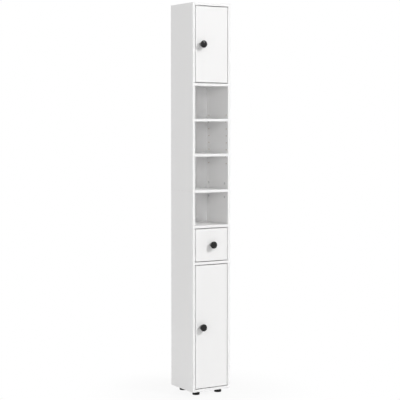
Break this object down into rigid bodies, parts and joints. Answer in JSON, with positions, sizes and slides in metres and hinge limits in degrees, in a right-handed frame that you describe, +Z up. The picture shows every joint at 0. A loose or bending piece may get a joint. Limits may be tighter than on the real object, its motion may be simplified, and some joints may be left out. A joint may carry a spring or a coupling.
{
  "type": "tall bathroom cabinet",
  "caption": "Tall, narrow white bathroom cabinet with inset doors above and below, open bays, a drawer, round black knobs and short feet.",
  "frame": {"origin": "on the floor, under the middle of the whole cabinet with its knobs", "axes": "+Z up, +X to the right of someone facing the doors, -Y out of the front"},
  "size_m": [0.2, 0.227, 1.8],
  "materials": {
    "white_board": "white melamine faced board, satin, with matching edge banding",
    "thin_panel": "thin hardboard, lacquered white inside",
    "black_knob": "satin black",
    "black_plastic": "matt black, moulded",
    "white_plastic": "moulded, slightly satin",
    "steel": "nickel plated",
    "zinc": "dull die-cast zinc",
    "beech": "raw fluted beech"
  },
  "bodies": {
    "carcass": {"left_side_lower": "white_board", "left_side_upper": "white_board", "right_side_lower": "white_board", "right_side_upper": "white_board", "top_board": "white_board", "bottom_board": "white_board", "upper_divider": "white_board", "drawer_top_board": "white_board", "drawer_bottom_board": "white_board", "middle_shelf": "white_board", "open_shelf_lower": "white_board", "open_shelf_upper": "white_board", "upper_cupboard_shelf": "white_board", "lower_cupboard_shelf": "white_board", "back_panel_lower": "thin_panel", "back_panel_upper": "thin_panel", "back_joiner": "white_plastic", "foot_front_left": "black_plastic", "foot_front_right": "black_plastic", "foot_rear_left": "black_plastic", "foot_rear_right": "black_plastic", "foot_screws": "steel", "board_cams": "zinc", "board_cam_bolts": "steel", "board_dowels": "beech", "side_joint_cams": "zinc", "side_joint_bolts": "steel", "shelf_pins": "steel", "hinge_arms": "steel", "hinge_plates": "steel", "hinge_screws": "steel", "magnetic_catches": "white_plastic", "catch_screws": "steel", "drawer_runners": "white_plastic", "runner_screws": "steel"},
    "upper_door": {"upper_door_panel": "white_board", "upper_hinge_cups": "steel", "upper_hinge_pins": "steel", "upper_cup_screws": "steel", "upper_knob": "black_knob", "upper_knob_screw": "steel", "upper_strike_plate": "steel"},
    "lower_door": {"lower_door_panel": "white_board", "lower_hinge_cups": "steel", "lower_hinge_pins": "steel", "lower_cup_screws": "steel", "lower_knob": "black_knob", "lower_knob_screw": "steel", "lower_strike_plate": "steel"},
    "drawer": {"drawer_front": "white_board", "drawer_side_left": "white_board", "drawer_side_right": "white_board", "drawer_back": "white_board", "drawer_bottom": "thin_panel", "drawer_knob": "black_knob", "drawer_knob_screw": "steel", "drawer_cams": "zinc", "drawer_cam_bolts": "steel", "drawer_back_screws": "steel"}
  },
  "joints": [
    {"name": "upper_door_hinge", "type": "hinge", "parent": "carcass", "child": "upper_door", "pos_m": [0.0743, -0.0805, 1.6125], "axis": [0, 0, 1], "range_deg": [0, 100]},
    {"name": "lower_door_hinge", "type": "hinge", "parent": "carcass", "child": "lower_door", "pos_m": [0.0743, -0.0805, 0.32], "axis": [0, 0, 1], "range_deg": [0, 100]},
    {"name": "drawer_slide", "type": "slide", "parent": "carcass", "child": "drawer", "axis": [0, -1, 0], "range_m": [0, 0.12]}
  ]
}
